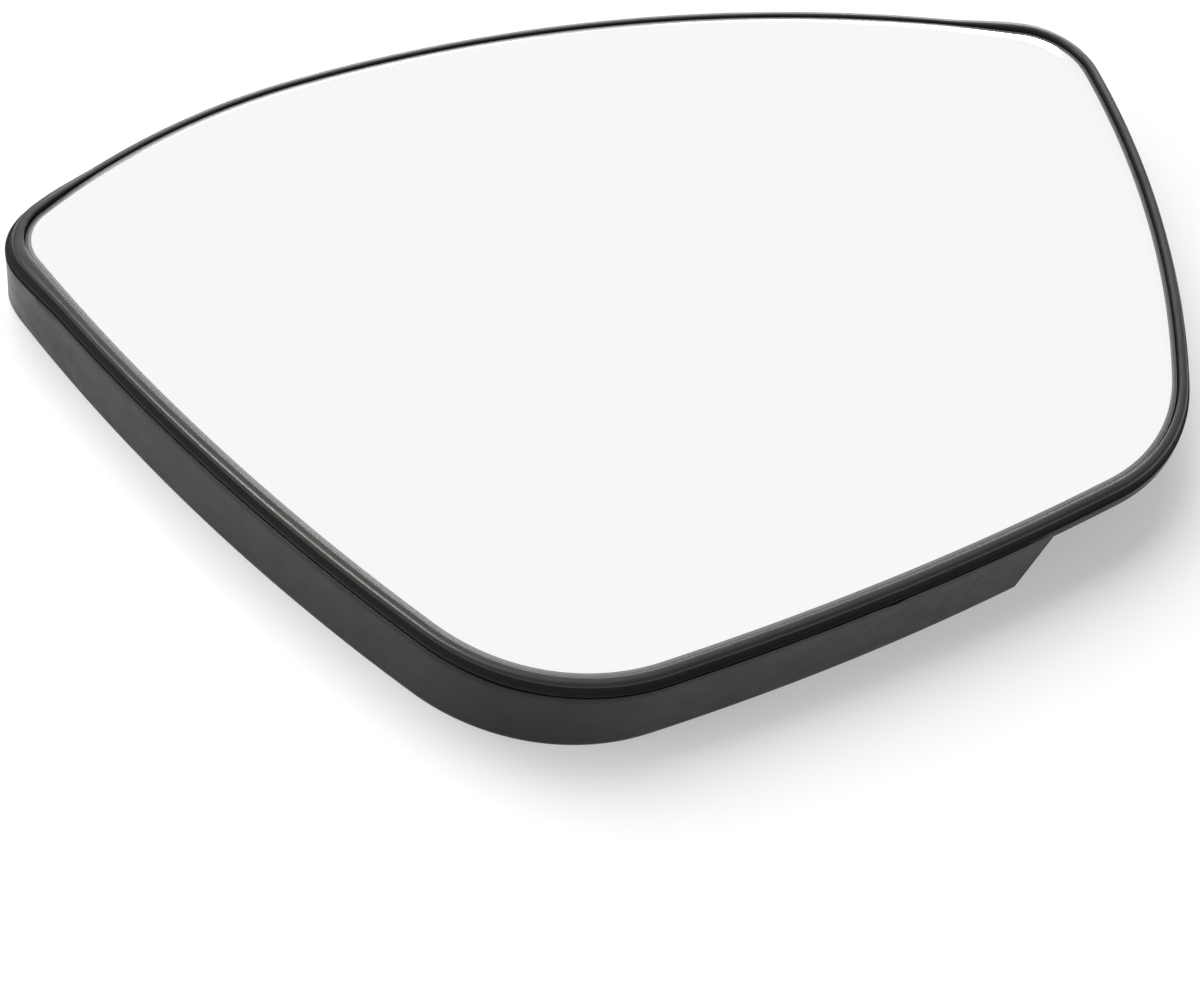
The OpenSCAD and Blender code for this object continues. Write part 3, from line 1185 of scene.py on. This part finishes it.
@dataclass
class Studio:
    """The pale table, the white surroundings and the soft lamps.

    Attributes:
        shown_white: Share of plain white in the table that the camera and gloss see.
        ambient: Strength of the light all round.
        bright_side: Direction in which the surroundings are full white.
        dim: Strength of the surroundings on the other sides.
        fall: Nearness to the bright side at which they are dim, and at which they are white.
    """

    table_size: float = 6.0
    table_colour: Colour = grey(0.86)
    table_roughness: float = 0.8
    table_gloss: float = 0.2
    shown_white: float = 0.37
    ambient: float = 0.42
    bright_side: Point = (0.25, 0.5, 0.83)
    dim: float = 0.38
    fall: tuple[float, float] = (0.55, 0.92)

    def table(self) -> bpy.types.Object:
        """Make the wide pale table.

        Returns:
            The table, which shows as nearly white and keeps the part's shadow.
        """
        part = MeshPart("studio_table")
        h = self.table_size / 2 / MM
        first = part.ring([(-h, -h, 0.0), (h, -h, 0.0), (h, h, 0.0), (-h, h, 0.0)])
        part.face(tuple(range(first, first + 4)))
        made = part.build(sharp=30)
        g = FinishGraph(Finish.TABLE)
        g.set("Base Color", self.table_colour)
        g.set("Roughness", self.table_roughness)
        g.set("Specular IOR Level", self.table_gloss)
        white = g.add("ShaderNodeEmission", Strength=1.0)
        share = g.add("ShaderNodeMath", operation="MULTIPLY")
        share.inputs[1].default_value = self.shown_white
        g.join(g.seen(), 0, share, 0)
        mix = g.add("ShaderNodeMixShader")
        g.join(share, 0, mix, 0)
        g.join(g.shader, "BSDF", mix, 1)
        g.join(white, "Emission", mix, 2)
        g.join(mix, 0, g.out, "Surface")
        made.data.materials.append(g.material)
        return made

    def world(self) -> None:
        """Light all round softly, and show a white studio that falls off a little to one side."""
        world = bpy.data.worlds.new("white_studio")
        bpy.context.scene.world = world
        world.use_nodes = True
        g = NodeGraph(world.node_tree)
        soft = g.add("ShaderNodeBackground", Strength=self.ambient)
        place = g.add("ShaderNodeTexCoord")
        facing = g.add("ShaderNodeVectorMath", operation="DOT_PRODUCT")
        facing.inputs[1].default_value = self.bright_side
        start, end = self.fall
        fall = g.add("ShaderNodeMapRange", interpolation_type="SMOOTHSTEP",
                     From_Min=start, From_Max=end, To_Min=self.dim, To_Max=1.0)
        white = g.add("ShaderNodeBackground", Color=(1.0, 1.0, 1.0, 1.0))
        mix = g.add("ShaderNodeMixShader")
        out = g.add("ShaderNodeOutputWorld")
        g.join(place, "Generated", facing, 0)
        g.join(facing, "Value", fall, "Value")
        g.join(fall, "Result", white, "Strength")
        g.join(g.seen(), 0, mix, 0)
        g.join(soft, 0, mix, 1)
        g.join(white, 0, mix, 2)
        g.join(mix, 0, out, "Surface")

    def build(self) -> None:
        """Set up the table, the surroundings and the lamps."""
        self.table()
        self.world()
        for lamp in LAMPS:
            lamp.hang()


@dataclass(frozen=True)
class PhotoCamera:
    """The camera at the photograph's viewing angle, with its angles in degrees."""

    focus_px: float = 3411.4
    width_px: float = 1200.0
    sensor_mm: float = 36.0
    aim: Point = (-28.078, -29.727, 12.0)
    distance: float = 510.535
    azimuth: float = -41.139
    elevation: float = 52.069
    roll: float = 15.699

    def build(self) -> bpy.types.Object:
        """Place the camera and make it the scene's own.

        Returns:
            The camera.
        """
        az, el, roll = (math.radians(a) for a in (self.azimuth, self.elevation, self.roll))
        back = Vector((math.cos(el) * math.sin(az), -math.cos(el) * math.cos(az), math.sin(el)))
        right = Vector((math.cos(az), math.sin(az), 0.0))
        up = back.cross(right)
        across = math.cos(roll) * right + math.sin(roll) * up
        above = math.cos(roll) * up - math.sin(roll) * right
        data = bpy.data.cameras.new("photo_camera")
        data.sensor_fit = "HORIZONTAL"
        data.sensor_width = self.sensor_mm
        data.lens = self.focus_px / self.width_px * self.sensor_mm
        data.clip_start = 0.01
        made = bpy.data.objects.new("photo_camera", data)
        place = (Vector(self.aim) + back * self.distance) * MM
        turn = Matrix((across, above, back)).transposed().to_4x4()
        made.matrix_world = Matrix.Translation(place) @ turn
        bpy.context.scene.collection.objects.link(made)
        bpy.context.scene.camera = made
        return made


def main() -> None:
    """Build the part from its pane outwards, then the studio and the camera."""
    logging.basicConfig(level=logging.INFO, format="%(name)s: %(message)s")
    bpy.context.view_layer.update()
    outline, dome = PaneOutline(), PaneDome()
    plastic = SatinPlastic().make()
    # Darker, less glossy copy of the plastic for the flank below the bead: painted shade in the
    # trough between the bead and the lip.
    flank_painted_shade = SatinPlastic(Finish.DULL_PLASTIC, colour=grey(0.008, 0.04), rubbed=grey(0.01, 0.04),
                        roughness=0.6, index=1.2).make()
    # Darker, less glossy copy of the plastic for the lip and the skirt: painted shade along their
    # whole length.
    outer = SatinPlastic(Finish.SKIRT_PLASTIC, colour=grey(0.006, 0.05), rubbed=grey(0.009, 0.06),
                         roughness=0.34, index=1.27).make()
    for piece in GlassHolder(outline, dome).dress(plastic, flank_painted_shade, outer):
        LOG.info("%s: %d faces", piece.name, len(piece.data.polygons))
    # Lighter copy of the ground glass on the seam: painted reflection of the silver through the
    # bevel, and a painted highlight along the glass's outer arris.
    seam = GroundEdge(Finish.SEAM, colour=(0.165, 0.176, 0.182, 1.0),
                      chipped=(0.195, 0.207, 0.213, 1.0), roughness=0.25)
    # Darker copy of the ground glass on the seam's middle band: painted shade.
    shade = GroundEdge(Finish.SEAM_SHADE, colour=(0.1, 0.107, 0.11, 1.0),
                       chipped=(0.12, 0.128, 0.132, 1.0), roughness=0.3)
    finishes = [SilveredGlass(), seam, shade, GroundEdge()]
    pane = MirrorPane(outline, dome).dress([finish.make() for finish in finishes])
    LOG.info("%s: %d faces", pane.name, len(pane.data.polygons))
    pad = AdhesivePad().dress(AdhesiveFilm().make())
    LOG.info("%s keeps its frame mesh", pad.name)
    Studio().build()
    PhotoCamera().build()
    bpy.context.scene.view_settings.view_transform = "Standard"


if __name__ == "__main__":
    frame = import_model()
    main()
